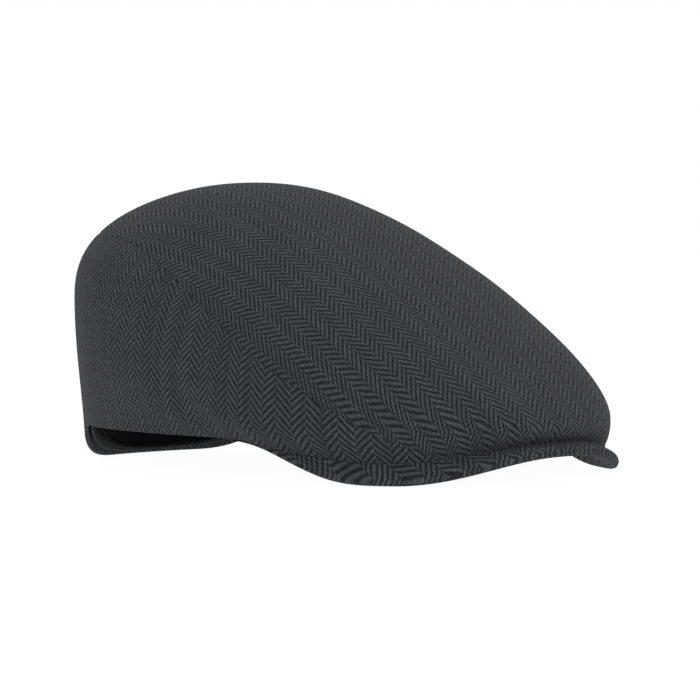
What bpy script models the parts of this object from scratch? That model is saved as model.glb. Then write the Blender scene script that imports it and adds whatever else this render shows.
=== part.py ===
"""Flat cap with a sewn-down crown, a short curved brim, a full lining and a sweatband.

Frame: metres, +Z up, the brim points to -Y, the wearer's left is +X.  The cap stands on
the two low corners of its brim and on the flat back of its hem, all at Z = 0.
The origin is under the middle of its length.  Points are worked out as (across, forward, up),
with forward counted from the middle of the head opening.
Angles run round the cap from 0 at the front centre, over the wearer's left, to 180 degrees
at the back centre.
"""

import math

import bmesh
import bpy
from mathutils import Vector

# Head opening, at the outer face of the hem
HEAD_BACK = 0.1002
HEAD_FRONT = 0.1065
FOREHEAD_EXPONENT = 2.0
HEAD_HALF_WIDTH = 0.0833
WIDEST_STATION = 0.0337
BACK_EXPONENT = 2.58
HEM_FLAT_LENGTH = 0.002
HEM_RISE_LENGTH = 0.030
TEMPLE_HEIGHT = 0.0158

# Crown, outer face
CROWN_HEIGHT = 0.1177
CROWN_TOP_STATION = -0.031
CROWN_SIDE_BULGE = 0.0072
CROWN_BACK_BULGE = 0.0003
CROWN_REACH = 0.0265
NOSE_OVERHANG = 0.0045
NOSE_EXPONENT = 2.0
RIM_HEIGHT_BACK = 0.082
RIM_HEIGHT_MIDDLE = 0.0345
RIM_HEIGHT_NOSE = 0.0208
RIM_SHARE = 0.4
SECTION_EXPONENT = 2.15
BACK_RISE_HANDLE = 0.59
BACK_CREST_HANDLE = 0.57
FRONT_CREST_HANDLE = 0.35
NOSE_RISE_HANDLE = 0.08
WALL_BULGE_HANDLE = 0.29
WALL_FOOT_HANDLE = 0.3
WALL_RIM_HANDLE_BACK = 0.40
WALL_RIM_HANDLE_FRONT = 0.55

# Line where the crown is sewn to the brim
JOIN_EXPONENT = 2.22
JOIN_LOW_ANGLE = math.radians(46)
JOIN_LOW_HEIGHT = 0.0100
JOIN_FRONT_HEIGHT = 0.0159
JOIN_ROOT_POWER = 1.0

# Seam between the top panel and the side panels
SEAM_BACK_HEIGHT = 0.098
SEAM_MIDDLE_HEIGHT = 0.082
SEAM_SLOPE = 0.60
SEAM_BEND = 0.016
SEAM_TIP_ANGLE = math.radians(1.2)

# Brim
BRIM_PROJECTION = 0.0060
BRIM_ROOT_STEP = 0.0006
BRIM_EXPONENT = 2.41
BRIM_LOW_ANGLE = math.radians(49.5)
BRIM_FRONT_HEIGHT = 0.0098
BRIM_ROOT_POWER = 1.95
BRIM_INNER_RISE = 0.0060
BRIM_END_ANGLE = math.radians(84)
BOARD_THICKNESS = 0.0016
COVER_THICKNESS = 0.0007
BOARD_INNER_MARGIN = 0.002
LIP_WIDTH = 0.0010
LIP_SLOPE = 0.0010

# Cloth and trimmings
SHELL_THICKNESS = 0.0016
STAY_THICKNESS = 0.0008
TAPE_THICKNESS = 0.0006
LINING_THICKNESS = 0.0008
BAND_THICKNESS = 0.0011
LABEL_THICKNESS = 0.0004
CLEARANCE = 0.0003
CLOTH_GAP = 0.0010

STAY_FIRST_ROW = 5
STAY_LAST_ROW = 10
HEM_TAPE_START_ANGLE = math.radians(98)
HEM_TAPE_FOOT = 0.0015
HEM_TAPE_WIDTH = 0.012
SEAM_TAPE_HALF_WIDTH = 0.006
SEAM_TAPE_TOP_MARGIN = 0.004

LINING_FOOT = 0.012
LINING_LEAVE_SHARE_BACK = 0.30
LINING_LEAVE_SHARE_FRONT = 0.62
LINING_DROP_SHARE = 0.30
LINING_SEAM_SHARE = 0.58
BAND_FOOT = 0.0015
BAND_WIDTH = 0.026
BAND_LEAN = 0.006
SIZE_LABEL_HALF_WIDTH = 0.008
SIZE_LABEL_FOOT = 0.006
SIZE_LABEL_HEIGHT = 0.018
LINING_LABEL_HALF_WIDTH = 0.026
LINING_LABEL_LENGTH = 0.038
LINING_LABEL_STATION = -0.020

# Facets
FRONT_COLUMNS = 5
SIDE_COLUMNS = 19
TOP_ROWS = 12
SIDE_ROWS = 8
LINING_ROWS = 5
BRIM_COLUMNS = 17
TAPE_COLUMNS = 30
TAPE_ROWS = 2
BACK_TAPE_ROWS = 8
BAND_ROWS = 2
SMALL_COLUMNS = 3
LABEL_COLUMNS = 6
LABEL_ROWS = 4

# What follows from the sizes above
JOIN_FRONT = HEAD_FRONT + CROWN_REACH
CROWN_FRONT = JOIN_FRONT + NOSE_OVERHANG
CROWN_BACK = HEAD_BACK + CROWN_BACK_BULGE
CROWN_HALF_WIDTH = HEAD_HALF_WIDTH + CROWN_SIDE_BULGE
BRIM_FRONT = JOIN_FRONT + BRIM_PROJECTION
BRIM_HALF_WIDTH = HEAD_HALF_WIDTH - BRIM_ROOT_STEP
CENTRE_STATION = (BRIM_FRONT - CROWN_BACK) / 2
BRIM_THICKNESS = BOARD_THICKNESS + 2 * (COVER_THICKNESS + CLEARANCE)
STAY_INSET = SHELL_THICKNESS + CLOTH_GAP
LINING_INSET = STAY_INSET + STAY_THICKNESS + CLOTH_GAP
LINING_LABEL_INSET = LINING_INSET + LINING_THICKNESS + CLOTH_GAP
BRIM_INSET = SHELL_THICKNESS + CLEARANCE
BAND_INSET = BRIM_INSET + BRIM_THICKNESS + CLEARANCE
SIZE_LABEL_INSET = BAND_INSET + BAND_THICKNESS + CLOTH_GAP


def place(across, forward, up):
    return Vector((across, CENTRE_STATION - forward, up))


def signed_power(value, power):
    return math.copysign(abs(value) ** power, value)


def bezier(a, b, c, d, t):
    s = 1 - t
    return s * s * s * a + 3 * s * s * t * b + 3 * s * t * t * c + t * t * t * d


def bisect(function, low, high):
    """Where a function that starts negative at low and ends positive at high crosses zero."""
    for _ in range(48):
        middle = (low + high) / 2
        if function(middle) < 0:
            low = middle
        else:
            high = middle
    return (low + high) / 2


def outline(angle, half_width, back, front, exponent):
    """Plan point of two half ovals that share their widest station."""
    c, s = math.cos(angle), math.sin(angle)
    reach = front - WIDEST_STATION
    if c < 0:
        reach, exponent = back + WIDEST_STATION, BACK_EXPONENT
    return (half_width * signed_power(s, 2 / exponent),
            WIDEST_STATION + reach * signed_power(c, 2 / exponent))


def back_angle(across, inset):
    """Angle off the back centre at which the outline is this far from the cap's middle."""
    return math.asin((across / (HEAD_HALF_WIDTH - inset)) ** (BACK_EXPONENT / 2))


def hem_height(forward):
    """The hem lies flat at the back and rises to the temples."""
    t = (forward + HEAD_BACK - HEM_FLAT_LENGTH) / HEM_RISE_LENGTH
    t = min(max(t, 0), 1)
    return TEMPLE_HEIGHT * t * t * (3 - 2 * t)


def dipping_height(angle, front, low, low_angle, root_power):
    """Height along the brim: from the front centre down to a low corner, then up to the root."""
    a = abs(angle)
    if a < low_angle:
        return low + (front - low) * (1 + math.cos(math.pi * a / low_angle)) / 2
    t = (a - low_angle) / (math.pi / 2 - low_angle)
    rise = (1 - math.cos(math.pi * t)) / 2
    return low + (TEMPLE_HEIGHT - low) * rise ** root_power


def folded(angle):
    """The same place on the cap, as an angle from -180 to 180 degrees."""
    return (angle + math.pi) % (2 * math.pi) - math.pi


def crown_foot(angle, inset):
    """Lower edge of the crown: the hem at the back and sides, the brim join at the front."""
    across, forward = outline(angle, HEAD_HALF_WIDTH - inset, HEAD_BACK - inset,
                              JOIN_FRONT - inset, JOIN_EXPONENT)
    if math.cos(angle) > 0:
        up = dipping_height(folded(angle), JOIN_FRONT_HEIGHT, JOIN_LOW_HEIGHT, JOIN_LOW_ANGLE,
                            JOIN_ROOT_POWER)
    else:
        up = hem_height(forward)
    return across, forward, up


def rim_height(forward):
    """Height of the crown's widest line, a parabola through its back, middle and nose."""
    t = (forward + CROWN_BACK) / (CROWN_FRONT + CROWN_BACK)
    return (RIM_HEIGHT_BACK * (1 - t) * (1 - 2 * t) + RIM_HEIGHT_MIDDLE * 4 * t * (1 - t)
            + RIM_HEIGHT_NOSE * t * (2 * t - 1))


def crown_rim(angle, inset):
    across, forward = outline(angle, CROWN_HALF_WIDTH - inset, CROWN_BACK - inset,
                              CROWN_FRONT - inset, NOSE_EXPONENT)
    return across, forward, rim_height(forward)


def centre_height(forward, inset):
    """Height of the crown's centre line over a station."""
    top = CROWN_HEIGHT - inset
    back, front = inset - CROWN_BACK, CROWN_FRONT - inset
    if forward < CROWN_TOP_STATION:
        crest = CROWN_TOP_STATION + BACK_CREST_HANDLE * (back - CROWN_TOP_STATION)
        low = rim_height(back)
        rise = low + BACK_RISE_HANDLE * (top - low)
        t = bisect(lambda u: bezier(back, back, crest, CROWN_TOP_STATION, u) - forward, 0, 1)
        return bezier(low, rise, top, top, t)
    crest = CROWN_TOP_STATION + FRONT_CREST_HANDLE * (front - CROWN_TOP_STATION)
    low = rim_height(front)
    rise = low + NOSE_RISE_HANDLE * (top - low)
    t = bisect(lambda u: bezier(CROWN_TOP_STATION, crest, front, front, u) - forward, 0, 1)
    return bezier(top, top, rise, low, t)


def dome_height(across, forward, inset):
    """Height of the crown above its widest line."""
    reach, exponent = CROWN_BACK - inset + WIDEST_STATION, BACK_EXPONENT
    if forward > WIDEST_STATION:
        reach, exponent = CROWN_FRONT - inset - WIDEST_STATION, NOSE_EXPONENT
    along = min(abs(forward - WIDEST_STATION) / reach, 1)
    half_width = (CROWN_HALF_WIDTH - inset) * max(1 - along ** exponent, 1e-9) ** (1 / exponent)
    share = min(abs(across) / half_width, 1) ** SECTION_EXPONENT
    low = rim_height(forward)
    return low + (centre_height(forward, inset) - low) * (1 - share) ** (1 / SECTION_EXPONENT)


def crown(angle, share, inset=0.0):
    """Point of the crown: share 0 is its lower edge, RIM_SHARE its widest line, 1 its top."""
    rim = crown_rim(angle, inset)
    if share >= RIM_SHARE:
        turn = (share - RIM_SHARE) / (1 - RIM_SHARE) * math.pi / 2
        across, forward = rim[0] * math.cos(turn), rim[1] * math.cos(turn)
        return place(across, forward, dome_height(across, forward, inset))
    foot = crown_foot(angle, inset)
    front = (1 + math.cos(angle)) / 2
    handle = WALL_RIM_HANDLE_BACK * (1 - front) + WALL_RIM_HANDLE_FRONT * front
    t = share / RIM_SHARE
    drop = rim[2] - foot[2]
    across = bezier(foot[0], foot[0] + WALL_BULGE_HANDLE * (rim[0] - foot[0]), rim[0], rim[0], t)
    forward = bezier(foot[1], foot[1] + WALL_BULGE_HANDLE * (rim[1] - foot[1]), rim[1], rim[1], t)
    up = bezier(foot[2], foot[2] + WALL_FOOT_HANDLE * drop, rim[2] - handle * drop, rim[2], t)
    return place(across, forward, up)


def seam_height(forward):
    """Height of the cut between the top panel and the side panels over a station."""
    slope = SEAM_MIDDLE_HEIGHT - SEAM_SLOPE * forward
    return (slope + SEAM_BACK_HEIGHT - math.hypot(slope - SEAM_BACK_HEIGHT, SEAM_BEND)) / 2


def over_seam(point):
    return point.z - seam_height(CENTRE_STATION - point.y)


def seam_start_angle():
    """Where the seam runs into the brim join."""
    return bisect(lambda a: -over_seam(crown(a, 0)), 0, math.pi / 2)


def seam_share(angle):
    return bisect(lambda share: over_seam(crown(angle, share)), 0, 0.95)


def share_at_height(angle, up, inset):
    """Share at which the crown's lower wall reaches a height."""
    return bisect(lambda share: crown(angle, share, inset).z - up, 0, RIM_SHARE)


def share_step(point, angle, share, length):
    """Change of share that moves a surface point by a length."""
    probe = 0.001
    return length * probe / (point(angle, share + probe) - point(angle, share - probe)).length


def spread(low, high, count):
    return [low + (high - low) * i / count for i in range(count + 1)]


def add_material(thing, colour, roughness):
    material = bpy.data.materials.new(thing.name)
    material.use_nodes = True
    shader = material.node_tree.nodes["Principled BSDF"]
    shader.inputs["Base Color"].default_value = (*colour, 1)
    shader.inputs["Roughness"].default_value = roughness
    shader.inputs["Metallic"].default_value = 0
    thing.data.materials.append(material)


def add_sheet(name, outer, inner, look, closed=False, pole=False):
    """A sheet with two faces, each a list of columns of points, and walls round its edges.

    A closed sheet's last column joins its first; a sheet with a pole ends in one point."""
    mesh = bmesh.new()
    count, rows = len(outer), len(outer[0])
    levels = rows - 1 if pole else rows
    faces = []
    for columns in (outer, inner):
        grid = [[mesh.verts.new(point) for point in column[:levels]] for column in columns]
        faces.append(grid)
        for i in range(count if closed else count - 1):
            a, b = grid[i], grid[(i + 1) % count]
            for j in range(levels - 1):
                mesh.faces.new((a[j], b[j], b[j + 1], a[j + 1]))
        if pole:
            tip = mesh.verts.new(columns[0][-1])
            for i in range(count):
                mesh.faces.new((grid[i][-1], grid[(i + 1) % count][-1], tip))
    front, back = faces
    loops = [([c[0] for c in front], [c[0] for c in back], closed)]
    if not pole:
        loops.append(([c[-1] for c in front], [c[-1] for c in back], closed))
    if not closed:
        loops.append((front[0], back[0], False))
        loops.append((front[-1], back[-1], False))
    for a, b, around in loops:
        for i in range(len(a) if around else len(a) - 1):
            k = (i + 1) % len(a)
            mesh.faces.new((a[i], a[k], b[k], b[i]))
    bmesh.ops.recalc_face_normals(mesh, faces=mesh.faces)
    data = bpy.data.meshes.new(name)
    mesh.to_mesh(data)
    mesh.free()
    data.shade_smooth()
    data.set_sharp_from_angle(angle=math.radians(35))
    thing = bpy.data.objects.new(name, data)
    bpy.context.scene.collection.objects.link(thing)
    add_material(thing, *look)
    return thing


WOOL = ((0.045, 0.052, 0.057), 0.9)
SATIN = ((0.006, 0.007, 0.009), 0.4)
BAND = ((0.005, 0.006, 0.008), 0.8)
BOARD = ((0.03, 0.03, 0.032), 0.55)
FLEECE = ((0.55, 0.55, 0.53), 0.9)
TAPE = ((0.01, 0.011, 0.013), 0.85)
LABEL = ((0.03, 0.032, 0.036), 0.7)


def panel_angles(start):
    """Columns of the left side panel, from its tip to the back seam."""
    end = math.pi - CLEARANCE / 2 / CROWN_HALF_WIDTH
    return spread(start + SEAM_TIP_ANGLE, end, SIDE_COLUMNS)


def build_side_panels():
    for name, side in (("side_panel_left", 1), ("side_panel_right", -1)):
        faces = []
        for inset in (0, SHELL_THICKNESS):
            columns = []
            for angle in panel_angles(seam_start_angle()):
                top = seam_share(angle)
                top -= share_step(crown, angle, top, CLEARANCE / 2)
                columns.append([crown(side * angle, s, inset) for s in spread(0, top, SIDE_ROWS)])
            faces.append(columns)
        add_sheet(name, *faces, WOOL)


def build_top_panel():
    start = seam_start_angle()
    front = spread(0, start, FRONT_COLUMNS)
    half = front + panel_angles(start)[:-1]
    angles = half + [math.pi] + [-a for a in half[:0:-1]]
    faces = []
    for inset in (0, SHELL_THICKNESS):
        columns = []
        for angle in angles:
            low = 0
            if abs(angle) > start + SEAM_TIP_ANGLE / 2:
                low = seam_share(abs(angle))
                low += share_step(crown, angle, low, CLEARANCE / 2)
            columns.append([crown(angle, s, inset) for s in spread(low, 1, TOP_ROWS)])
        faces.append(columns)
    add_sheet("top_panel", *faces, WOOL, closed=True, pole=True)


def build_crown_stay():
    """The stiffener under the front of the top panel, facet for facet below it."""
    start = seam_start_angle()
    shares = spread(0, 1, TOP_ROWS)[STAY_FIRST_ROW:STAY_LAST_ROW + 1]
    faces = [[[crown(a, s, inset) for s in shares] for a in spread(-start, start, 2 * FRONT_COLUMNS)]
             for inset in (STAY_INSET, STAY_INSET + STAY_THICKNESS)]
    add_sheet("crown_interlining", *faces, FLEECE)


def build_hem_tape():
    faces = []
    for inset in (STAY_INSET, STAY_INSET + STAY_THICKNESS):
        columns = []
        end = 2 * math.pi - HEM_TAPE_START_ANGLE
        for angle in spread(HEM_TAPE_START_ANGLE, end, TAPE_COLUMNS):
            foot = crown_foot(angle, inset)[2] + HEM_TAPE_FOOT
            shares = [share_at_height(angle, up, inset)
                      for up in spread(foot, foot + HEM_TAPE_WIDTH, TAPE_ROWS)]
            columns.append([crown(angle, s, inset) for s in shares])
        faces.append(columns)
    add_sheet("hem_tape", *faces, TAPE)


def build_back_seam_tape():
    half_angle = back_angle(SEAM_TAPE_HALF_WIDTH, STAY_INSET)
    foot = HEM_TAPE_FOOT + HEM_TAPE_WIDTH + CLEARANCE
    faces = []
    for inset in (STAY_INSET, STAY_INSET + TAPE_THICKNESS):
        columns = []
        for angle in spread(math.pi - half_angle, math.pi + half_angle, SMALL_COLUMNS):
            low = share_at_height(angle, foot, inset)
            high = seam_share(math.pi)
            high -= share_step(crown, math.pi, high, SEAM_TAPE_TOP_MARGIN)
            columns.append([crown(angle, s, inset) for s in spread(low, high, BACK_TAPE_ROWS)])
        faces.append(columns)
    add_sheet("back_seam_tape", *faces, TAPE)


def opening(angle, inset):
    """Head opening at an inset, with the height of the hem or of the brim's inner edge."""
    across, forward = outline(angle, HEAD_HALF_WIDTH - inset, HEAD_BACK - inset,
                              HEAD_FRONT - inset, FOREHEAD_EXPONENT)
    c = math.cos(angle)
    up = TEMPLE_HEIGHT + BRIM_INNER_RISE * c * (2 - c) if c > 0 else hem_height(forward)
    return across, forward, up


def lining(angle, share, inset=LINING_INSET):
    """The lining follows the crown, and at the front it drops behind the forehead instead."""
    front = max(math.cos(angle), 0)
    leave = LINING_LEAVE_SHARE_BACK
    leave += (LINING_LEAVE_SHARE_FRONT - LINING_LEAVE_SHARE_BACK) * math.sin(front * math.pi / 2)
    if share >= LINING_DROP_SHARE:
        t = (share - LINING_DROP_SHARE) / (1 - LINING_DROP_SHARE)
        return crown(angle, leave + (1 - leave) * t, inset)
    t = share / LINING_DROP_SHARE
    across, forward, up = opening(angle, inset)
    foot = place(across, forward, up + LINING_FOOT)
    low = share_at_height(angle, max(foot.z, crown(angle, 0, inset).z), inset)
    wall = crown(angle, low + (leave - low) * t, inset)
    end = crown(angle, leave, inset)
    slide = (crown(angle, leave + 0.01, inset) - end).normalized()
    handle = (end - foot).length / 3
    rise = Vector((0, 0, handle))
    drop = Vector([bezier(foot[i], foot[i] + rise[i], end[i] - slide[i] * handle, end[i], t)
                   for i in range(3)])
    mix = min(front * 2, 1)
    return wall.lerp(drop, mix * mix * (3 - 2 * mix))


def lining_column(angle, low, high, rows, inset):
    return [lining(angle, s, inset) for s in spread(low, high, rows)]


def build_lining():
    step = share_step(lining, math.pi / 2, LINING_SEAM_SHARE, CLEARANCE)
    around = 2 * (FRONT_COLUMNS + SIDE_COLUMNS)
    insets = (LINING_INSET, LINING_INSET + LINING_THICKNESS)
    faces = [[lining_column(a, LINING_SEAM_SHARE + step, 1, LINING_ROWS, inset)
              for a in spread(0, 2 * math.pi, around)[:-1]] for inset in insets]
    add_sheet("lining_top", *faces, SATIN, closed=True, pole=True)
    gap = CLEARANCE / HEAD_HALF_WIDTH
    for name, side in (("lining_side_left", 1), ("lining_side_right", -1)):
        faces = [[lining_column(side * a, 0, LINING_SEAM_SHARE - step, LINING_ROWS, inset)
                  for a in spread(gap, math.pi - gap, around // 2)] for inset in insets]
        add_sheet(name, *faces, SATIN)


def band_point(angle, up, inset):
    """The sweatband stands on the opening and leans back from the forehead."""
    lean = BAND_LEAN * (1 + math.cos(angle)) / 2 * (up - BAND_FOOT) / BAND_WIDTH
    across, forward, _ = opening(angle, inset + lean)
    return place(across, forward, opening(angle, inset)[2] + up)


def build_sweatband():
    gap = CLEARANCE / HEAD_HALF_WIDTH
    faces = [[[band_point(angle, up, inset)
               for up in spread(BAND_FOOT, BAND_FOOT + BAND_WIDTH, BAND_ROWS)]
              for angle in spread(gap - math.pi, math.pi - gap, 2 * SIDE_COLUMNS)]
             for inset in (BAND_INSET, BAND_INSET + BAND_THICKNESS)]
    add_sheet("sweatband", *faces, BAND)


def build_size_label():
    half_angle = back_angle(SIZE_LABEL_HALF_WIDTH, SIZE_LABEL_INSET)
    faces = [[[band_point(angle, up, inset)
               for up in (SIZE_LABEL_FOOT, SIZE_LABEL_FOOT + SIZE_LABEL_HEIGHT)]
              for angle in spread(math.pi - half_angle, math.pi + half_angle, SMALL_COLUMNS)]
             for inset in (SIZE_LABEL_INSET, SIZE_LABEL_INSET + LABEL_THICKNESS)]
    add_sheet("size_label", *faces, LABEL)


def build_lining_label():
    """A blank woven label under the middle of the lining's top."""
    start = LINING_LABEL_STATION - LINING_LABEL_LENGTH / 2
    faces = [[[place(across, forward, dome_height(across, forward, inset))
               for forward in spread(start, start + LINING_LABEL_LENGTH, LABEL_ROWS)]
              for across in spread(-LINING_LABEL_HALF_WIDTH, LINING_LABEL_HALF_WIDTH,
                                   LABEL_COLUMNS)]
             for inset in (LINING_LABEL_INSET, LINING_LABEL_INSET + LABEL_THICKNESS)]
    add_sheet("lining_label", *faces, LABEL)


def brim_edge(angle):
    """Top of the brim's outer edge, whose lower side follows the dipping line down to Z = 0."""
    across, forward = outline(angle, BRIM_HALF_WIDTH, HEAD_BACK, BRIM_FRONT, BRIM_EXPONENT)
    up = dipping_height(angle, BRIM_FRONT_HEIGHT, 0, BRIM_LOW_ANGLE, BRIM_ROOT_POWER)
    return place(across, forward, up + BRIM_THICKNESS * math.cos(angle))


def brim_join(angle):
    across, forward, up = crown_foot(angle, BRIM_INSET)
    return place(across, forward, up - CLEARANCE)


def brim(angle, row, depth):
    """Point of the brim: row 0 is its inner edge, 1 the crown join and 2 the outer edge.

    Its thickness runs straight down at the front centre and turns inwards to the sides."""
    inward = Vector((-math.sin(angle), 0, -math.cos(angle))) * depth
    if row > 1:
        return brim_join(angle).lerp(brim_edge(angle), row - 1) + inward
    return place(*opening(angle, BRIM_INSET)).lerp(brim_join(angle), row) + inward


def brim_angles():
    low = spread(0, BRIM_LOW_ANGLE, BRIM_COLUMNS // 2)
    high = spread(BRIM_LOW_ANGLE, BRIM_END_ANGLE, BRIM_COLUMNS - BRIM_COLUMNS // 2)
    half = low + high[1:]
    return [-a for a in half[:0:-1]] + half


def edge_row(angle, distance):
    """Row at a distance in from the brim's outer edge."""
    return 2 - distance / (brim_edge(angle) - brim_join(angle)).length


def build_brim_cover(name, face, inner, lip):
    """A cover's outer face, and an inner face that turns to meet the other cover at the edge."""
    faces = [[], []]
    for angle in brim_angles():
        slope = edge_row(angle, LIP_WIDTH + LIP_SLOPE)
        flat = edge_row(angle, LIP_WIDTH)
        rows = [0, 0.5, 1, (1 + slope) / 2, slope, flat, 2]
        depths = [inner, inner, inner, inner, inner, lip, lip]
        faces[0].append([brim(angle, row, face) for row in rows])
        faces[1].append([brim(angle, row, depth) for row, depth in zip(rows, depths)])
    add_sheet(name, *faces, WOOL)


def build_brim_board():
    top = COVER_THICKNESS + CLEARANCE
    faces = []
    for depth in (top, top + BOARD_THICKNESS):
        columns = []
        for angle in brim_angles():
            inner = place(*opening(angle, BRIM_INSET))
            first = BOARD_INNER_MARGIN / (brim_join(angle) - inner).length
            last = edge_row(angle, LIP_WIDTH + LIP_SLOPE + CLEARANCE)
            rows = [first, (1 + first) / 2, 1, (1 + last) / 2, last]
            columns.append([brim(angle, row, depth) for row in rows])
        faces.append(columns)
    add_sheet("brim_board", *faces, BOARD)


def build_brim():
    middle = BRIM_THICKNESS / 2
    half_gap = CLEARANCE / 2
    build_brim_board()
    build_brim_cover("brim_top_cover", 0, COVER_THICKNESS, middle - half_gap)
    build_brim_cover("brim_under_cover", BRIM_THICKNESS, BRIM_THICKNESS - COVER_THICKNESS,
                     middle + half_gap)


def main():
    for thing in list(bpy.data.objects):
        bpy.data.objects.remove(thing)
    build_top_panel()
    build_side_panels()
    build_crown_stay()
    build_hem_tape()
    build_back_seam_tape()
    build_lining()
    build_sweatband()
    build_size_label()
    build_lining_label()
    build_brim()


main()
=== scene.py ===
"""Looks of the herringbone flat cap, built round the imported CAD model.

Metres, +Z up, the brim points to -Y.  Surfaces are worked out as (across, forward, up), with
forward counted from the middle of the head opening, and as angles round the cap from 0 at the
front centre, over the wearer's left, to 180 degrees at the back centre.  Each cloth piece is a
single sheet with its folds and seam edges, thickened at the end, and carries a map named
"cloth" that holds its flat place on the cloth in metres.
"""

import math

import bpy
import numpy as np
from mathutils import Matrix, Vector


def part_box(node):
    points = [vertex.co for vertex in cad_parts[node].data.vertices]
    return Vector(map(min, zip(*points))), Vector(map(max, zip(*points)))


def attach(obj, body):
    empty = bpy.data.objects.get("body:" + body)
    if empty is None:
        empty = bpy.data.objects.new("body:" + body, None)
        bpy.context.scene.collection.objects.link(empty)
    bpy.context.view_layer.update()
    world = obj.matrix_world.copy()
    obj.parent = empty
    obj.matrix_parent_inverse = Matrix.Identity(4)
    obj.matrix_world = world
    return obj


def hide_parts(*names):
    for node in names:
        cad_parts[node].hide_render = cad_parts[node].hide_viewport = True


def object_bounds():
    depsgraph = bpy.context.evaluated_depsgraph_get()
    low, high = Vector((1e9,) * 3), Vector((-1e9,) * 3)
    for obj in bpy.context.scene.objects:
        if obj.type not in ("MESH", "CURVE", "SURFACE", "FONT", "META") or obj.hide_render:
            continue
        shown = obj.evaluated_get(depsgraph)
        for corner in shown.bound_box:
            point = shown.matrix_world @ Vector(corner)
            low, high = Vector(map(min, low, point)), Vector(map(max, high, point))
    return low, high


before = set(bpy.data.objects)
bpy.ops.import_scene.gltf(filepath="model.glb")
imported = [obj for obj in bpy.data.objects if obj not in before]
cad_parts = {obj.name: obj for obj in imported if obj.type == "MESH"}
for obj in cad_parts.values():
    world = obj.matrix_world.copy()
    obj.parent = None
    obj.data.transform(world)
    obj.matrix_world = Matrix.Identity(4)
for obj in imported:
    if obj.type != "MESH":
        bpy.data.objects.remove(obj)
CAD_LOW, CAD_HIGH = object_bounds()

# ---------------------------------------------------------------- shape, as in the CAD source
HEAD_BACK = 0.1002
HEAD_FRONT = 0.1065
FOREHEAD_EXPONENT = 2.0
HEAD_HALF_WIDTH = 0.0833
WIDEST_STATION = 0.0337
BACK_EXPONENT = 2.58
HEM_FLAT_LENGTH = 0.002
HEM_RISE_LENGTH = 0.030
TEMPLE_HEIGHT = 0.0158

CROWN_HEIGHT = 0.1177
CROWN_TOP_STATION = -0.031
CROWN_SIDE_BULGE = 0.0072
CROWN_BACK_BULGE = 0.0003
CROWN_REACH = 0.0265
NOSE_OVERHANG = 0.0045
NOSE_EXPONENT = 2.0
RIM_HEIGHT_BACK = 0.082
RIM_HEIGHT_MIDDLE = 0.0345
RIM_HEIGHT_NOSE = 0.0208
RIM_SHARE = 0.4
SECTION_EXPONENT = 2.15
BACK_RISE_HANDLE = 0.59
BACK_CREST_HANDLE = 0.57
FRONT_CREST_HANDLE = 0.35
NOSE_RISE_HANDLE = 0.08
WALL_BULGE_HANDLE = 0.29
WALL_FOOT_HANDLE = 0.3
WALL_RIM_HANDLE_BACK = 0.40
WALL_RIM_HANDLE_FRONT = 0.55

JOIN_EXPONENT = 2.22
JOIN_LOW_ANGLE = math.radians(46)
JOIN_LOW_HEIGHT = 0.0100
JOIN_FRONT_HEIGHT = 0.0159
JOIN_ROOT_POWER = 1.0

SEAM_BACK_HEIGHT = 0.098
SEAM_MIDDLE_HEIGHT = 0.082
SEAM_SLOPE = 0.60
SEAM_BEND = 0.016
SEAM_TIP_ANGLE = math.radians(0.4)

BRIM_PROJECTION = 0.0060
BRIM_ROOT_STEP = 0.0006
BRIM_EXPONENT = 2.41
BRIM_LOW_ANGLE = math.radians(49.5)
BRIM_FRONT_HEIGHT = 0.0098
BRIM_ROOT_POWER = 1.95
BRIM_INNER_RISE = 0.0060
BRIM_END_ANGLE = math.radians(87.5)
BRIM_THICKNESS = 0.0036
BRIM_INSET = 0.0019

LINING_INSET = 0.0054
LINING_FOOT = 0.012
LINING_LEAVE_SHARE_BACK = 0.30
LINING_LEAVE_SHARE_FRONT = 0.62
LINING_DROP_SHARE = 0.30
LINING_SEAM_SHARE = 0.58
BAND_INSET = 0.0058
BAND_FOOT = 0.0015
BAND_WIDTH = 0.026
BAND_LEAN = 0.006

JOIN_FRONT = HEAD_FRONT + CROWN_REACH
CROWN_FRONT = JOIN_FRONT + NOSE_OVERHANG
CROWN_BACK = HEAD_BACK + CROWN_BACK_BULGE
CROWN_HALF_WIDTH = HEAD_HALF_WIDTH + CROWN_SIDE_BULGE
BRIM_FRONT = JOIN_FRONT + BRIM_PROJECTION
BRIM_HALF_WIDTH = HEAD_HALF_WIDTH - BRIM_ROOT_STEP
CENTRE_STATION = (BRIM_FRONT - CROWN_BACK) / 2

# ---------------------------------------------------------------- sewing
CLOTH_THICKNESS = 0.0007
FOLD_RADIUS = 0.0009
TURN_UP = 0.010
SEAM_DEPTH = 0.0003
SEAM_ROUND = 0.0017
BRIM_SEAM_DEPTH = 0.0003

YARN = 0.000725
BAND_ENDS = 8
YARN_WANDER = 0.0011


def signed_power(value, power):
    return np.sign(value) * np.abs(value) ** power


def bezier(a, b, c, d, t):
    s = 1 - t
    return s * s * s * a + 3 * s * s * t * b + 3 * s * t * t * c + t * t * t * d


def bisect(function, low, high):
    """Where a rising function crosses zero, for every element of low and high at once."""
    low, high = np.array(low, float), np.array(high, float)
    for _ in range(40):
        middle = (low + high) / 2
        below = function(middle) < 0
        low, high = np.where(below, middle, low), np.where(below, high, middle)
    return (low + high) / 2


def smooth(t):
    t = np.clip(t, 0, 1)
    return t * t * (3 - 2 * t)


def hill(value, middle, width):
    return np.exp(-(((value - middle) / width) ** 2))


def place(across, forward, up):
    across, forward, up = np.broadcast_arrays(across, forward, up)
    return np.stack([across, CENTRE_STATION - forward, up], -1)


def folded(angle):
    return (angle + math.pi) % (2 * math.pi) - math.pi


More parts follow.
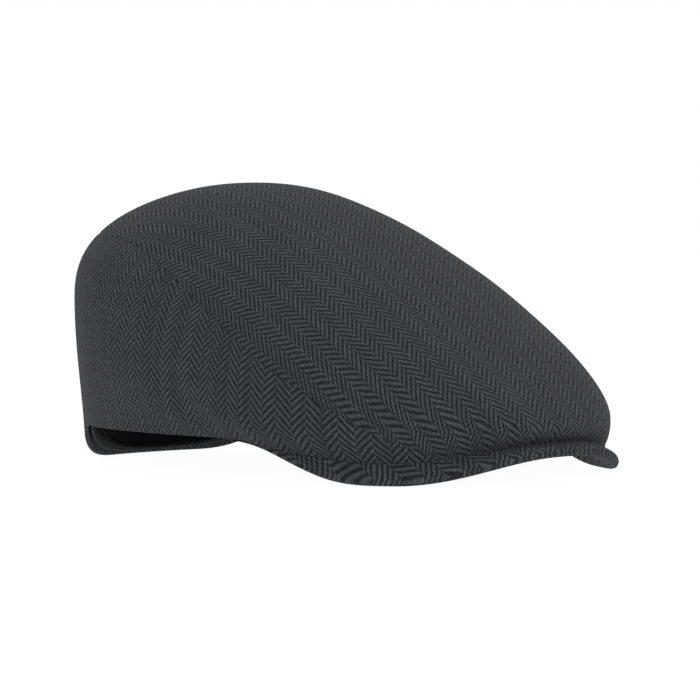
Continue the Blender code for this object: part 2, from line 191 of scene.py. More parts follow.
def outline(angle, half_width, back, front, exponent):
    c, s = np.cos(angle), np.sin(angle)
    power = 2 / np.where(c > 0, exponent, BACK_EXPONENT)
    reach = np.where(c > 0, front - WIDEST_STATION, back + WIDEST_STATION)
    return half_width * signed_power(s, power), WIDEST_STATION + reach * signed_power(c, power)


def hem_height(forward):
    return TEMPLE_HEIGHT * smooth((forward + HEAD_BACK - HEM_FLAT_LENGTH) / HEM_RISE_LENGTH)


def dipping_height(angle, front, low, low_angle, root_power):
    a = np.abs(angle)
    fall = low + (front - low) * (1 + np.cos(math.pi * np.minimum(a / low_angle, 1))) / 2
    t = np.clip((a - low_angle) / (math.pi / 2 - low_angle), 0, 1)
    rise = low + (TEMPLE_HEIGHT - low) * ((1 - np.cos(math.pi * t)) / 2) ** root_power
    return np.where(a < low_angle, fall, rise)


def bare_foot(angle, inset):
    ahead = np.cos(angle) > 0
    across, forward = outline(angle, HEAD_HALF_WIDTH - inset, HEAD_BACK - inset,
                              JOIN_FRONT - inset, JOIN_EXPONENT)
    joined = dipping_height(folded(angle), JOIN_FRONT_HEIGHT, JOIN_LOW_HEIGHT, JOIN_LOW_ANGLE,
                            JOIN_ROOT_POWER)
    return across, forward, np.where(ahead, joined, hem_height(forward))


def brim_edge(angle):
    across, forward = outline(angle, BRIM_HALF_WIDTH, HEAD_BACK, BRIM_FRONT, BRIM_EXPONENT)
    up = dipping_height(angle, BRIM_FRONT_HEIGHT, 0, BRIM_LOW_ANGLE, BRIM_ROOT_POWER)
    return place(across, forward, up + BRIM_THICKNESS * np.cos(angle))


def brim_join(angle):
    across, forward, up = bare_foot(angle, BRIM_INSET)
    return place(across, forward, up - 0.0003)


def foot_drop(angle):
    """How far the crown's foot comes down to lie on the brim."""
    a = folded(angle)
    outer, join, edge = place(*bare_foot(a, 0)), brim_join(a), brim_edge(a)
    run = np.linalg.norm((edge - join)[..., :2], axis=-1)
    step = np.linalg.norm((outer - join)[..., :2], axis=-1) / run
    drop = outer[..., 2] - (join + (edge - join) * step[..., None])[..., 2]
    fade = smooth((math.radians(88) - np.abs(a)) / math.radians(10))
    return np.clip(drop + 0.0002, 0, 0.002) * fade


def crown_foot(angle, inset):
    across, forward, up = bare_foot(angle, inset)
    return across, forward, up - foot_drop(angle)


def rim_height(forward):
    t = (forward + CROWN_BACK) / (CROWN_FRONT + CROWN_BACK)
    return (RIM_HEIGHT_BACK * (1 - t) * (1 - 2 * t) + RIM_HEIGHT_MIDDLE * 4 * t * (1 - t)
            + RIM_HEIGHT_NOSE * t * (2 * t - 1))


def crown_rim(angle, inset):
    across, forward = outline(angle, CROWN_HALF_WIDTH - inset, CROWN_BACK - inset,
                              CROWN_FRONT - inset, NOSE_EXPONENT)
    return across, forward, rim_height(forward)


def centre_height(forward, inset):
    top, back, front = CROWN_HEIGHT - inset, inset - CROWN_BACK, CROWN_FRONT - inset
    middle = CROWN_TOP_STATION
    crest = middle + BACK_CREST_HANDLE * (back - middle)
    low = rim_height(back)
    t = bisect(lambda u: bezier(back, back, crest, middle, u) - forward, 0 * forward, 1)
    behind = bezier(low, low + BACK_RISE_HANDLE * (top - low), top, top, t)
    crest = middle + FRONT_CREST_HANDLE * (front - middle)
    low = rim_height(front)
    t = bisect(lambda u: bezier(middle, crest, front, front, u) - forward, 0 * forward, 1)
    ahead = bezier(top, top, low + NOSE_RISE_HANDLE * (top - low), low, t)
    return np.where(forward < middle, behind, ahead)


def section(across, forward, inset):
    """(share of the half width, half width) of the dome at a place in plan."""
    ahead = forward > WIDEST_STATION
    reach = np.where(ahead, CROWN_FRONT - inset - WIDEST_STATION,
                     CROWN_BACK - inset + WIDEST_STATION)
    along = np.minimum(np.abs((forward - WIDEST_STATION) / reach), 1)
    exponent = np.where(ahead, NOSE_EXPONENT, BACK_EXPONENT)
    left = np.maximum(1 - along ** exponent, 1e-9)
    half_width = (CROWN_HALF_WIDTH - inset) * left ** (1 / exponent)
    return np.minimum(np.abs(across) / half_width, 1), half_width


def dome_height(across, forward, inset):
    share, _ = section(across, forward, inset)
    low = rim_height(forward)
    bulge = (1 - share ** SECTION_EXPONENT) ** (1 / SECTION_EXPONENT)
    return low + (centre_height(forward, inset) - low) * bulge


def crown(angle, share, inset=0.0):
    """Points of the crown: share 0 is its lower edge, RIM_SHARE its widest line, 1 its top."""
    angle, share = np.broadcast_arrays(np.asarray(angle, float), np.asarray(share, float))
    rim, foot = crown_rim(angle, inset), crown_foot(angle, inset)
    turn = np.clip((share - RIM_SHARE) / (1 - RIM_SHARE), 0, 1) * math.pi / 2
    across, forward = rim[0] * np.cos(turn), rim[1] * np.cos(turn)
    dome = place(across, forward, dome_height(across, forward, inset))
    front = (1 + np.cos(angle)) / 2
    handle = WALL_RIM_HANDLE_BACK * (1 - front) + WALL_RIM_HANDLE_FRONT * front
    t, drop = np.minimum(share / RIM_SHARE, 1), rim[2] - foot[2]
    wall = place(
        bezier(foot[0], foot[0] + WALL_BULGE_HANDLE * (rim[0] - foot[0]), rim[0], rim[0], t),
        bezier(foot[1], foot[1] + WALL_BULGE_HANDLE * (rim[1] - foot[1]), rim[1], rim[1], t),
        bezier(foot[2], foot[2] + WALL_FOOT_HANDLE * drop, rim[2] - handle * drop, rim[2], t))
    return np.where((share >= RIM_SHARE)[..., None], dome, wall)


def over_seam(points):
    forward = CENTRE_STATION - points[..., 1]
    slope = SEAM_MIDDLE_HEIGHT - SEAM_SLOPE * forward
    height = (slope + SEAM_BACK_HEIGHT - np.hypot(slope - SEAM_BACK_HEIGHT, SEAM_BEND)) / 2
    return points[..., 2] - height


SEAM_START = float(bisect(lambda a: -over_seam(crown(a, 0)), 0, math.pi / 2))


def seam_share(angle):
    """Share of the crown at the seam; 0 ahead of the place where the seam meets the brim."""
    a = np.abs(folded(angle))
    share = bisect(lambda s: over_seam(crown(a, s)), 0 * a, 0.95)
    return np.where(a < SEAM_START + SEAM_TIP_ANGLE, 0, share)


def lengths_along(points, axis):
    """Distance from the first point along an axis of a grid of points."""
    points = np.moveaxis(points, axis, 0)
    steps = np.linalg.norm(np.diff(points, axis=0), axis=-1)
    return np.moveaxis(np.concatenate([0 * steps[:1], np.cumsum(steps, 0)]), 0, axis)


# ---------------------------------------------------------------- meshes
def grid_faces(columns, rows, closed):
    i, j = np.meshgrid(np.arange(columns if closed else columns - 1), np.arange(rows - 1),
                       indexing="ij")
    k = (i + 1) % columns
    return np.stack([i * rows + j, k * rows + j, k * rows + j + 1, i * rows + j + 1],
                    -1).reshape(-1, 4)


def make_piece(name, points, flat, material, closed=False, flip=False,
               thickness=CLOTH_THICKNESS):
    """A sheet from a grid of points and the flat place of each, thickened inwards."""
    columns, rows = points.shape[:2]
    faces = grid_faces(columns, rows, closed)
    places = faces.copy()
    if closed:
        last = faces[:, 1] < faces[:, 0]
        places[last, 1] += columns * rows
        places[last, 2] += columns * rows
    if flip:
        faces, places = faces[:, ::-1], places[:, ::-1]
    mesh = bpy.data.meshes.new(name)
    mesh.from_pydata(points.reshape(-1, 3).tolist(), [], faces.tolist())
    flat = flat.reshape(-1, 2)[places.reshape(-1)]
    mesh.uv_layers.new(name="cloth").data.foreach_set("uv", flat.astype(np.float32).ravel())
    low, size = flat.min(0), np.ptp(flat, axis=0).max()
    baked = 0.01 + 0.98 * (flat - low) / size
    mesh.uv_layers.new(name="OFBake").data.foreach_set("uv", baked.astype(np.float32).ravel())
    mesh.uv_layers["cloth"].active = True
    mesh.shade_smooth()
    piece = bpy.data.objects.new(name, mesh)
    bpy.context.scene.collection.objects.link(piece)
    mesh.materials.append(material)
    if thickness:
        solid = piece.modifiers.new("thickness", "SOLIDIFY")
        solid.thickness = thickness
        solid.offset = -1
    return piece


def normals_of(piece):
    values = np.empty(len(piece.data.vertices) * 3, np.float32)
    piece.data.vertex_normals.foreach_get("vector", values)
    return values.reshape(-1, 3)


def push(piece, heights):
    """Moves a sheet's points along their normals."""
    count = len(piece.data.vertices)
    points = np.empty(count * 3, np.float32)
    piece.data.vertices.foreach_get("co", points)
    points = points.reshape(-1, 3) + normals_of(piece) * np.reshape(heights, (-1, 1))
    piece.data.vertices.foreach_set("co", points.astype(np.float32).ravel())
    piece.data.update()


def fit_in(piece, slot, *nodes):
    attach(piece, "root")
    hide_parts(*nodes)
    return piece


# ---------------------------------------------------------------- materials
class Graph:
    """A material's node tree, with short calls for what these cloths are made of."""

    def __init__(self, name):
        self.material = bpy.data.materials.new(name)
        self.material.use_nodes = True
        self.tree = self.material.node_tree
        self.shader = self.tree.nodes["Principled BSDF"]

    def node(self, kind, inputs=(), **settings):
        made = self.tree.nodes.new(kind)
        for key, value in settings.items():
            setattr(made, key, value)
        for key, value in dict(inputs).items():
            self.feed(made.inputs[key], value)
        return made

    def feed(self, socket, value):
        if isinstance(value, bpy.types.NodeSocket):
            self.tree.links.new(value, socket)
        else:
            socket.default_value = value

    def math(self, operation, *values):
        made = self.node("ShaderNodeMath", enumerate(values), operation=operation)
        return made.outputs[0]

    def mix(self, share, a, b):
        made = self.node("ShaderNodeMix", data_type="RGBA")
        for socket, value in zip((made.inputs[0], made.inputs[6], made.inputs[7]), (share, a, b)):
            self.feed(socket, value)
        return made.outputs[2]

    def flat_place(self):
        split = self.node("ShaderNodeSeparateXYZ",
                          {0: self.node("ShaderNodeUVMap", uv_map="cloth").outputs[0]})
        return split.outputs[0], split.outputs[1]

    def vector(self, x, y, z=0.0):
        return self.node("ShaderNodeCombineXYZ", {0: x, 1: y, 2: z}).outputs[0]

    def noise(self, vector, scale, detail=2.0, roughness=0.5):
        made = self.node("ShaderNodeTexNoise", {"Vector": vector, "Scale": scale,
                                                "Detail": detail, "Roughness": roughness})
        return made.outputs[0]

    def chance(self, vector):
        return self.node("ShaderNodeTexWhiteNoise", {"Vector": vector},
                         noise_dimensions="3D").outputs[0]

    def finish(self, colour, roughness, height, distance, **plain):
        bump = self.node("ShaderNodeBump", {"Height": height, "Distance": distance,
                                            "Strength": 1.0})
        self.feed(self.shader.inputs["Normal"], bump.outputs[0])
        self.feed(self.shader.inputs["Base Color"], colour)
        self.feed(self.shader.inputs["Roughness"], roughness)
        for key, value in plain.items():
            self.shader.inputs[key.replace("_", " ")].default_value = value
        return self.material


WOOL_DARK = (0.0124, 0.0153, 0.0177, 1)
WOOL_LIGHT = (0.0505, 0.0582, 0.0637, 1)


def herringbone():
    """Two-and-two twill that turns round every BAND_ENDS yarns, light warp over dark weft."""
    g = Graph("herringbone_wool")
    u, v = g.flat_place()
    wander = g.noise(g.vector(u, v), 260.0, 3.0)
    u = g.math("ADD", u, g.math("MULTIPLY", g.math("SUBTRACT", wander, 0.5), YARN_WANDER))
    wander = g.math("SUBTRACT", g.noise(g.vector(v, u), 210.0, 3.0), 0.5)
    v = g.math("ADD", v, g.math("MULTIPLY", wander, YARN_WANDER))
    x, y = g.math("DIVIDE", u, YARN), g.math("DIVIDE", v, YARN)
    end, pick = g.math("FLOOR", x), g.math("FLOOR", y)
    fx, fy = g.math("FRACT", x), g.math("FRACT", y)
    band = g.math("FLOOR", g.math("DIVIDE", end, float(BAND_ENDS)))
    odd = g.math("FLOORED_MODULO", band, 2.0)
    way = g.math("SUBTRACT", 1.0, g.math("MULTIPLY", odd, 2.0))
    shift = g.math("MULTIPLY", odd, 2.0 * BAND_ENDS + 1.0)
    along = g.math("ADD", g.math("MULTIPLY", way, end), shift)
    warp_turn = g.math("FLOORED_MODULO", g.math("ADD", along, y), 4.0)
    aside = g.math("ADD", g.math("MULTIPLY", way, g.math("SUBTRACT", fx, 0.5)), 0.5)
    weft_turn = g.math("FLOORED_MODULO", g.math("ADD", g.math("ADD", along, aside), pick), 4.0)

    def arch(turn):
        return g.math("SINE", g.math("MULTIPLY", turn, math.pi / 2))

    def round_yarn(across):
        return g.math("SINE", g.math("MULTIPLY", across, math.pi))

    warp = g.math("ADD", arch(warp_turn), g.math("MULTIPLY", round_yarn(fx), 0.55))
    weft = g.math("SUBTRACT", g.math("MULTIPLY", round_yarn(fy), 0.55), arch(weft_turn))
    over = g.math("SUBTRACT", warp, weft)
    light = g.node("ShaderNodeMapRange", {0: over, 1: -0.35, 2: 0.35}).outputs[0]
    height = g.math("SMOOTH_MAX", warp, weft, 0.2)
    fuzz = g.noise(g.vector(u, v), 3300.0, 3.0, 0.7)
    yarn = g.chance(g.vector(g.math("MULTIPLY", end, light),
                             g.math("MULTIPLY", pick, g.math("SUBTRACT", 1.0, light))))
    cloudy = g.noise(g.vector(u, v), 38.0, 3.0)
    tone = g.math("ADD", g.math("MULTIPLY", fuzz, 1.0), g.math("MULTIPLY", yarn, 0.42))
    tone = g.math("ADD", tone, g.math("MULTIPLY", cloudy, 0.28))
    tone = g.math("ADD", tone, 0.13)
    plain = g.mix(light, WOOL_DARK, WOOL_LIGHT)
    colour = g.node("ShaderNodeVectorMath", {0: plain, 3: tone}, operation="SCALE").outputs[0]
    height = g.math("ADD", height, g.math("MULTIPLY", fuzz, 0.9))
    rough = g.math("ADD", 0.82, g.math("MULTIPLY", fuzz, 0.15))
    return g.finish(colour, rough, height, 0.00010, Sheen_Weight=0.02, Sheen_Roughness=0.45,
                    Sheen_Tint=(0.8, 0.85, 0.9, 1), Specular_IOR_Level=0.15)


def ribbed(name, colour, pitch, lift, roughness, gloss):
    """A plain cloth with fine ribs across it."""
    g = Graph(name)
    u, v = g.flat_place()
    rib = g.math("SINE", g.math("MULTIPLY", u, 2 * math.pi / pitch))
    pick = g.math("SINE", g.math("MULTIPLY", v, 2 * math.pi / (pitch * 0.45)))
    fuzz = g.noise(g.vector(u, v), 2600.0, 3.0, 0.65)
    height = g.math("ADD", rib, g.math("ADD", g.math("MULTIPLY", pick, 0.25), fuzz))
    tone = g.math("ADD", 0.55, g.math("MULTIPLY", g.math("ADD", fuzz, g.math(
        "MULTIPLY", rib, 0.2)), 0.9))
    paint = g.node("ShaderNodeVectorMath", {0: colour, 3: tone}, operation="SCALE").outputs[0]
    rough = g.math("ADD", roughness - 0.08, g.math("MULTIPLY", fuzz, 0.16))
    return g.finish(paint, rough, height, lift, Specular_IOR_Level=gloss)


def moulded(name, colour, roughness, scale, lift):
    """Board or felt, with a grain that needs no flat map."""
    g = Graph(name)
    spot = g.node("ShaderNodeTexCoord").outputs["Object"]
    grain = g.noise(spot, scale, 4.0, 0.6)
    tone = g.math("ADD", 0.7, g.math("MULTIPLY", grain, 0.6))
    paint = g.node("ShaderNodeVectorMath", {0: colour, 3: tone}, operation="SCALE").outputs[0]
    rough = g.math("ADD", roughness - 0.1, g.math("MULTIPLY", grain, 0.2))
    return g.finish(paint, rough, grain, lift)


WOOL = herringbone()
# The lining, sweatband and label colours are the cloths' own near-black, darkened further as
# painted shade for the shadowed inside of the crown.
SATIN = ribbed("satin_lining", (0.0035, 0.0041, 0.0050), 0.0003, 0.00001, 0.36, 0.35)
BAND = ribbed("sweatband", (0.0016, 0.0020, 0.0026), 0.0011, 0.00012, 0.80, 0.06)
LABEL = ribbed("label", (0.0030, 0.0034, 0.0040), 0.0004, 0.00003, 0.65, 0.10)
TAPE = moulded("tape", (0.0045, 0.0050, 0.0058), 0.85, 1500.0, 0.0001)
BOARD = moulded("brim_board", (0.030, 0.030, 0.032), 0.5, 900.0, 0.00003)
FLEECE = moulded("interlining", (0.012, 0.013, 0.015), 0.9, 1200.0, 0.0002)

for node, material in (("brim_board", BOARD), ("crown_interlining", FLEECE),
                       ("hem_tape", TAPE), ("back_seam_tape", TAPE)):
    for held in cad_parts[node].material_slots:
        held.material = material


# ---------------------------------------------------------------- crown
TUCK_PLACE = (-0.088, -0.002, 0.028)
TUCK_WIDTH = (0.020, 0.009, 0.016)
TUCK_SLANT = 1.1
TUCK_DEPTH = 0.0015


def crown_relief(points):
    """Soft waves of worn cloth and the tuck over the right temple, outwards, in metres."""
    x, y, z = points[..., 0], points[..., 1], points[..., 2]
    broad = 0.35 * np.sin(31 * x + 17 * z + 1.3) * np.sin(27 * y - 21 * z)
    fine = 0.16 * np.sin(83 * y + 47 * z + 0.4) * np.sin(71 * x - 39 * y + 2.1)
    slanted = y - TUCK_SLANT * (z - TUCK_PLACE[2])
    tuck = (hill(x, TUCK_PLACE[0], TUCK_WIDTH[0]) * hill(slanted, TUCK_PLACE[1], TUCK_WIDTH[1])
            * hill(z, TUCK_PLACE[2], TUCK_WIDTH[2]))
    return (broad + fine) * 0.001 - TUCK_DEPTH * tuck


def edge_dip(distance):
    return -SEAM_DEPTH * np.clip(1 - distance / SEAM_ROUND, 0, 1) ** 2


TOP_GRID = 200
EDGE_GATHER = 0.68


def centre_line_length():
    """(station, length from the crown's top) along the centre line."""
    steps = np.linspace(0, math.pi, 801)
    station = -CROWN_BACK + (CROWN_BACK + CROWN_FRONT) * (1 - np.cos(steps)) / 2
    line = place(0 * station, station, centre_height(station, 0.0))
    length = lengths_along(line, 0)
    return station, length - np.interp(CROWN_TOP_STATION, station, length)


def top_flat(angle, share, points):
    """Flat place of points of the top panel: across from its centre line, then along it."""
    rim = crown_rim(angle, 0.0)
    on_dome = share >= RIM_SHARE
    across = np.where(on_dome, points[..., 0], rim[0])
    forward = np.where(on_dome, CENTRE_STATION - points[..., 1], rim[1])
    steps = np.linspace(0, 1, 33)
    part, half_width = section(across, forward, 0.0)
    rise = centre_height(forward, 0.0) - rim_height(forward)
    width = np.minimum(np.abs(across), half_width)
    line = np.stack([width[..., None] * steps,
                     rise[..., None] * (1 - (part[..., None] * steps) ** SECTION_EXPONENT)
                     ** (1 / SECTION_EXPONENT)], -1)
    u = np.sign(across) * np.linalg.norm(np.diff(line, axis=-2), axis=-1).sum(-1)
    v = np.interp(forward, *centre_line_length())
    below = np.linalg.norm(points - place(*rim), axis=-1)
    below = np.where(on_dome, 0, below)
    lean = np.stack([rim[0], rim[1] - WIDEST_STATION], -1)
    lean /= np.linalg.norm(lean, axis=-1, keepdims=True)
    return np.stack([u + below * lean[..., 0], v + below * lean[..., 1]], -1)


def build_top_panel():
    t = np.linspace(-1, 1, TOP_GRID + 1)
    a, b = np.meshgrid(t, t, indexing="ij")
    x, y = a * np.sqrt(1 - b * b / 2), b * np.sqrt(1 - a * a / 2)
    q = np.minimum(np.hypot(x, y), 1)
    angle = np.arctan2(x, y)
    radius = q + EDGE_GATHER / math.pi * np.sin(math.pi * q)
    low = seam_share(angle)
    share = 1 - radius * (1 - low)
    points = crown(angle, share)
    flat = top_flat(angle, share, points)
    edge = crown(angle, low)
    distance = np.linalg.norm(points - edge, axis=-1)
    piece = make_piece("top_panel_cloth", points, flat, WOOL, flip=True)
    on_seam = low > 0
    h = np.clip(distance, 0, FOLD_RADIUS)
    tuck = np.sqrt(FOLD_RADIUS ** 2 - (FOLD_RADIUS - h) ** 2) - FOLD_RADIUS
    push(piece, crown_relief(points) + np.where(on_seam, edge_dip(distance), tuck))
    fit_in(piece, "herringbone_wool", "top_panel")


SIDE_GRID = 230
SIDE_ROWS = 74
FOLD_ROWS = 7
TURN_ROWS = 9


def gathered(count, pull=0.6):
    """Steps from 0 to 1 that lie closer together at both ends."""
    t = np.linspace(0, 1, count)
    return t - pull * np.sin(2 * math.pi * t) / (2 * math.pi)


def build_side_panels():
    for name, side in (("side_panel_left", 1), ("side_panel_right", -1)):
        angle = np.linspace(SEAM_START + SEAM_TIP_ANGLE, math.pi, SIDE_GRID)
        angle[-12:] = math.pi - np.geomspace(1, 0.02, 12) * (math.pi - angle[-12])
        angle[-1] = math.pi
        angle = angle[:, None]
        top = seam_share(angle)
        step = np.linalg.norm(crown(angle, 0.02) - crown(angle, 0.0), axis=-1) / 0.02
        start = np.minimum(FOLD_RADIUS / step, top * 0.3)
        share = start + (top - start) * gathered(SIDE_ROWS)[None, :]
        outer = crown(side * angle, share)
        foot = crown(side * angle, 0 * angle)[:, 0]
        rise = crown(side * angle, 0 * angle + 0.03)[:, 0] - foot
        rise /= np.linalg.norm(rise, axis=-1, keepdims=True)
        round_it = np.gradient(foot, axis=0)
        outward = np.cross(round_it, rise) * side
        outward /= np.linalg.norm(outward, axis=-1, keepdims=True)
        middle = foot + (rise - outward) * FOLD_RADIUS
        turn = np.linspace(math.pi, 0, FOLD_ROWS + 1)[None, :-1, None]
        fold = middle[:, None] + FOLD_RADIUS * (
            np.cos(turn) * outward[:, None] - np.sin(turn) * rise[:, None])
        behind = smooth((angle - math.radians(93)) / math.radians(6))
        up = (0.0008 + (TURN_UP - 0.0008) * behind) * np.linspace(1, 0, TURN_ROWS + 1)[None, :-1]
        inner = (middle - outward * FOLD_RADIUS)[:, None] + up[..., None] * rise[:, None]
        points = np.concatenate([inner, fold, outer], 1)
        u = lengths_along(foot, 0)[:, None] - lengths_along(foot, 0)[-1]
        v = lengths_along(points, 1)
        v = v - v[:, TURN_ROWS + FOLD_ROWS][:, None]
        flat = np.stack(np.broadcast_arrays(side * u, v), -1)
        piece = make_piece(name + "_cloth", points, flat, WOOL, flip=side < 0)
        from_seam = lengths_along(points[:, ::-1], 1)[:, ::-1]
        from_back = lengths_along(points[::-1], 0)[::-1]
        relief = crown_relief(points)
        fade = np.clip(v / 0.006, 0, 1)
        dip = edge_dip(np.minimum(from_seam, from_back))
        dip[:, :TURN_ROWS + FOLD_ROWS] = 0
        push(piece, relief * fade + dip)
        fit_in(piece, "herringbone_wool", name)


# ---------------------------------------------------------------- brim
def opening(angle, inset):
    across, forward = outline(angle, HEAD_HALF_WIDTH - inset, HEAD_BACK - inset,
                              HEAD_FRONT - inset, FOREHEAD_EXPONENT)
    c = np.cos(angle)
    return across, forward, np.where(c > 0, TEMPLE_HEIGHT + BRIM_INNER_RISE * c * (2 - c),
                                     hem_height(forward))


def brim(angle, row, depth):
    """Points of the brim: row 0 is its inner edge, 1 the crown join and 2 the outer edge."""
    inner, join, edge = place(*opening(angle, BRIM_INSET)), brim_join(angle), brim_edge(angle)
    ahead = join + (edge - join) * (row - 1)[..., None]
    behind = inner + (join - inner) * row[..., None]
    points = np.where((row > 1)[..., None], ahead, behind)
    shift = np.stack(np.broadcast_arrays(-np.sin(angle) * depth, 0 * depth,
                                         -np.cos(angle) * depth), -1)
    return points + shift


BRIM_GRID = 300


def build_brim():
    angle = np.linspace(-BRIM_END_ANGLE, BRIM_END_ANGLE, BRIM_GRID)[:, None]
    width = np.linalg.norm(brim_edge(angle) - brim_join(angle), axis=-1)
    side = brim_edge(np.linspace(0, BRIM_END_ANGLE, BRIM_GRID))[:, ::2]
    side_across, side_length = side[:, 0], lengths_along(side, 0)
    radius = BRIM_THICKNESS / 2
    turn = np.linspace(0, math.pi / 2, 9)[None, :]
    groove = BRIM_SEAM_DEPTH * hill(turn, math.pi / 2, 0.2)
    from_edge = np.minimum(radius * (1 - np.sin(turn)) + groove, width * 0.6)
    curl = radius * (1 - np.cos(turn)) + 0 * width
    inner = np.linspace(0.0, 1, 14)[None, :-1] + 0 * angle
    first_edge = 2 - from_edge[:, :1] / width
    ahead = 1 + (first_edge - 1) * np.linspace(0, 1, 16)[None, :-1]
    row = np.concatenate([inner, ahead, 2 - from_edge / width], 1)
    depth = np.concatenate([0 * inner, 0 * ahead, curl], 1)
    for name, deep, flip in (("brim_top_cover", depth, False),
                             ("brim_under_cover", BRIM_THICKNESS - depth, True)):
        points = brim(angle + 0 * row, row, deep)
        u = np.sign(points[..., 0]) * np.interp(np.abs(points[..., 0]), side_across, side_length)
        v = CENTRE_STATION - points[..., 1]
        v = v + np.where(depth > 0, depth, 0)
        piece = make_piece(name + "_cloth", points, np.stack([u, v], -1), WOOL, flip=flip,
                           thickness=0.0005)
        fit_in(piece, "herringbone_wool", name)


# ---------------------------------------------------------------- lining and band
def share_at_height(angle, up, inset):
    return bisect(lambda s: crown(angle, s, inset)[..., 2] - up, 0 * angle, RIM_SHARE)


def lining(angle, share, inset=LINING_INSET):
    """The lining follows the crown, and at the front it drops behind the forehead instead."""
    angle, share = np.broadcast_arrays(np.asarray(angle, float), np.asarray(share, float))
    front = np.maximum(np.cos(angle), 0)
    leave = LINING_LEAVE_SHARE_BACK + (LINING_LEAVE_SHARE_FRONT - LINING_LEAVE_SHARE_BACK) \
        * np.sin(front * math.pi / 2)
    t = np.clip((share - LINING_DROP_SHARE) / (1 - LINING_DROP_SHARE), 0, 1)
    high = crown(angle, leave + (1 - leave) * t, inset)
    t = np.clip(share / LINING_DROP_SHARE, 0, 1)
    across, forward, up = opening(angle, inset)
    foot = place(across, forward, up + LINING_FOOT)
    low = share_at_height(angle, np.maximum(foot[..., 2], crown(angle, 0, inset)[..., 2]), inset)
    wall = crown(angle, low + (leave - low) * t, inset)
    end = crown(angle, leave, inset)
    slide = crown(angle, leave + 0.01, inset) - end
    slide /= np.linalg.norm(slide, axis=-1, keepdims=True)
    handle = np.linalg.norm(end - foot, axis=-1, keepdims=True) / 3
    rise = np.array([0, 0, 1.0]) * handle
    drop = bezier(foot, foot + rise, end - slide * handle, end, t[..., None])
    mix = smooth(np.minimum(front * 2, 1))[..., None]
    return np.where((share >= LINING_DROP_SHARE)[..., None], high,
                    wall + (drop - wall) * mix)


LINING_GRID = 90
LINING_SIDE_COLUMNS = 150
LINING_SIDE_ROWS = 36


def lining_folds(angle, share):
    """Slack satin: soft folds that fan out from the band, inwards from the crown."""
    fan = 0.5 + 0.5 * np.sin(23 * angle + 4 * share + 1.5 * np.sin(5 * angle))
    low = np.sin(math.pi * np.clip(share / LINING_SEAM_SHARE, 0, 1)) ** 0.7
    return 0.0016 * fan * low


def build_lining():
    t = np.linspace(-1, 1, LINING_GRID + 1)
    a, b = np.meshgrid(t, t, indexing="ij")
    x, y = a * np.sqrt(1 - b * b / 2), b * np.sqrt(1 - a * a / 2)
    q, angle = np.minimum(np.hypot(x, y), 1), np.arctan2(x, y)
    share = 1 - q * (1 - LINING_SEAM_SHARE)
    points = lining(angle, share)
    flat = points[..., :2] * 1.2
    piece = make_piece("lining_top_satin", points, flat, SATIN, thickness=0.0004)
    ripple = 0.0012 * np.sin(9 * angle + 12 * q) ** 2 * np.sin(math.pi * q) ** 2
    push(piece, ripple)
    fit_in(piece, "satin_lining", "lining_top")
    for name, side in (("lining_side_left", 1), ("lining_side_right", -1)):
        angle = np.linspace(0, math.pi, LINING_SIDE_COLUMNS)[:, None]
        share = LINING_SEAM_SHARE * np.linspace(0, 1, LINING_SIDE_ROWS)[None, :]
        points = lining(side * angle, share)
        flat = np.stack(np.broadcast_arrays(lengths_along(points[:, :1], 0),
                                            lengths_along(points, 1)), -1)
        piece = make_piece(name + "_satin", points, flat, SATIN, flip=side > 0,
                           thickness=0.0004)
        push(piece, lining_folds(angle, share))
        fit_in(piece, "satin_lining", name)


def band_point(angle, up, inset):
    lean = BAND_LEAN * (1 + np.cos(angle)) / 2 * (up - BAND_FOOT) / BAND_WIDTH
    across, forward, _ = opening(angle, inset + lean)
    return place(across, forward, opening(angle, inset)[2] + up)


BAND_GRID = 320
BAND_DEPTH = 0.0011
BAND_ROWS = 22


def build_sweatband():
    angle = np.linspace(-math.pi, math.pi, BAND_GRID + 1)[:-1, None]
    up = BAND_FOOT + BAND_WIDTH * gathered(BAND_ROWS)[None, :]
    points = band_point(angle, up, BAND_INSET + BAND_DEPTH)
    whole = np.concatenate([points, points[:1]])
    u = lengths_along(whole[:, :1], 0)
    flat = np.stack(np.broadcast_arrays(u, lengths_along(whole, 1)), -1)
    piece = make_piece("sweatband_cloth", points, flat, BAND, closed=True, flip=True,
                       thickness=0.0009)
    from_edge = np.minimum(up - BAND_FOOT, BAND_FOOT + BAND_WIDTH - up) + 0 * angle
    bead = 0.0003 * hill(from_edge, 0.0008, 0.0008) - 0.0003 * hill(from_edge, 0.0030, 0.0005)
    push(piece, bead)
    fit_in(piece, "sweatband", "sweatband")


LABEL_DEPTH = 0.0016


def build_label(name, node):
    """A blank woven label that lies along the lining or the sweatband."""
    low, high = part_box(node)
    count = 41
    if node == "lining_label":
        x = np.linspace(low.x, high.x, count)[:, None]
        y = np.linspace(low.y, high.y, count)[None, :]
        z = dome_height(x, CENTRE_STATION - y, LINING_INSET + 0.0022)
        points = np.stack(np.broadcast_arrays(x, y, z), -1)
        flat = points[..., :2]
    else:
        across = np.linspace(low.x, high.x, count)[:, None]
        part = np.abs(across) / (HEAD_HALF_WIDTH - BAND_INSET - LABEL_DEPTH)
        angle = math.pi - np.sign(across) * np.arcsin(part ** (BACK_EXPONENT / 2))
        up = np.linspace(low.z, high.z, count)[None, :]
        points = band_point(angle, up, BAND_INSET + LABEL_DEPTH)
        flat = np.stack(np.broadcast_arrays(points[..., 0], up), -1)
    piece = make_piece(name, points, flat, LABEL, thickness=0.0003)
    fit_in(piece, "label", node)


build_top_panel()
build_side_panels()
build_brim()
build_lining()
build_sweatband()
build_label("lining_label_cloth", "lining_label")
build_label("size_label_cloth", "size_label")


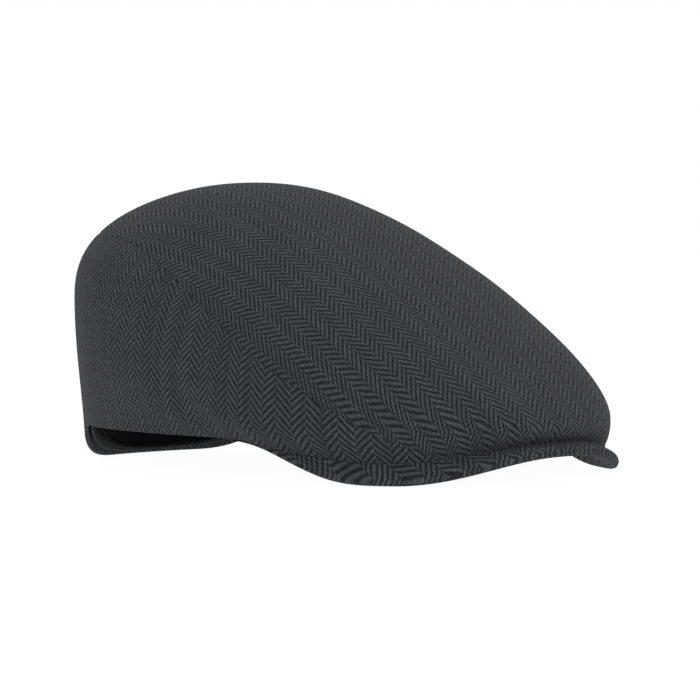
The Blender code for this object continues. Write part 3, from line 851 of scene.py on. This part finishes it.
# ---------------------------------------------------------------- room
def build_floor():
    mesh = bpy.data.meshes.new("floor")
    reach = 30.0
    mesh.from_pydata([(-reach, -reach, CAD_LOW.z), (reach, -reach, CAD_LOW.z),
                      (reach, reach, CAD_LOW.z), (-reach, reach, CAD_LOW.z)], [], [(0, 1, 2, 3)])
    floor = bpy.data.objects.new("floor", mesh)
    bpy.context.scene.collection.objects.link(floor)
    g = Graph("floor")
    g.shader.inputs["Base Color"].default_value = (0.05, 0.05, 0.05, 1)
    g.shader.inputs["Roughness"].default_value = 1
    g.shader.inputs["Specular IOR Level"].default_value = 0
    g.shader.inputs["Emission Color"].default_value = (1, 1, 1, 1)
    g.shader.inputs["Emission Strength"].default_value = 0.97
    below = g.node("ShaderNodeNewGeometry").outputs["Backfacing"]
    clear = g.node("ShaderNodeBsdfTransparent").outputs[0]
    either = g.node("ShaderNodeMixShader", {0: below, 1: g.shader.outputs[0], 2: clear})
    g.feed(g.tree.nodes["Material Output"].inputs["Surface"], either.outputs[0])
    mesh.materials.append(g.material)


def build_room():
    world = bpy.data.worlds.new("room")
    world.use_nodes = True
    world.node_tree.nodes["Background"].inputs["Color"].default_value = (1, 1, 1, 1)
    world.node_tree.nodes["Background"].inputs["Strength"].default_value = 1.0
    bpy.context.scene.world = world
    data = bpy.data.lights.new("front_softbox", "SUN")
    data.energy, data.angle = 0.40, math.radians(80)
    light = bpy.data.objects.new("front_softbox", data)
    bpy.context.scene.collection.objects.link(light)
    light.rotation_euler = (math.radians(78), 0, math.radians(-8))
    bpy.context.scene.view_settings.view_transform = "Standard"


CAMERA_AZIMUTH = math.radians(-44.97)
CAMERA_ELEVATION = math.radians(1.85)
CAMERA_DISTANCE = 1.193
CAMERA_LENS = 147.0
CAMERA_AIM = Vector((0.0166, -0.0026))


def build_camera():
    """Seen from ahead of the wearer's right temple, just above the table."""
    a, e = CAMERA_AZIMUTH, CAMERA_ELEVATION
    back = Vector((math.sin(a) * math.cos(e), -math.cos(a) * math.cos(e), math.sin(e)))
    turn = (-back).to_track_quat("-Z", "Y")
    middle = Vector((0, CENTRE_STATION, 0.05))
    data = bpy.data.cameras.new("camera")
    data.lens, data.sensor_width = CAMERA_LENS, 36.0
    camera = bpy.data.objects.new("camera", data)
    bpy.context.scene.collection.objects.link(camera)
    camera.location = middle + back * CAMERA_DISTANCE
    aim = middle + turn @ Vector((CAMERA_AIM.x, CAMERA_AIM.y, 0))
    camera.rotation_mode = "QUATERNION"
    camera.rotation_quaternion = (aim - camera.location).to_track_quat("-Z", "Y")
    bpy.context.scene.camera = camera


build_floor()
build_room()
build_camera()
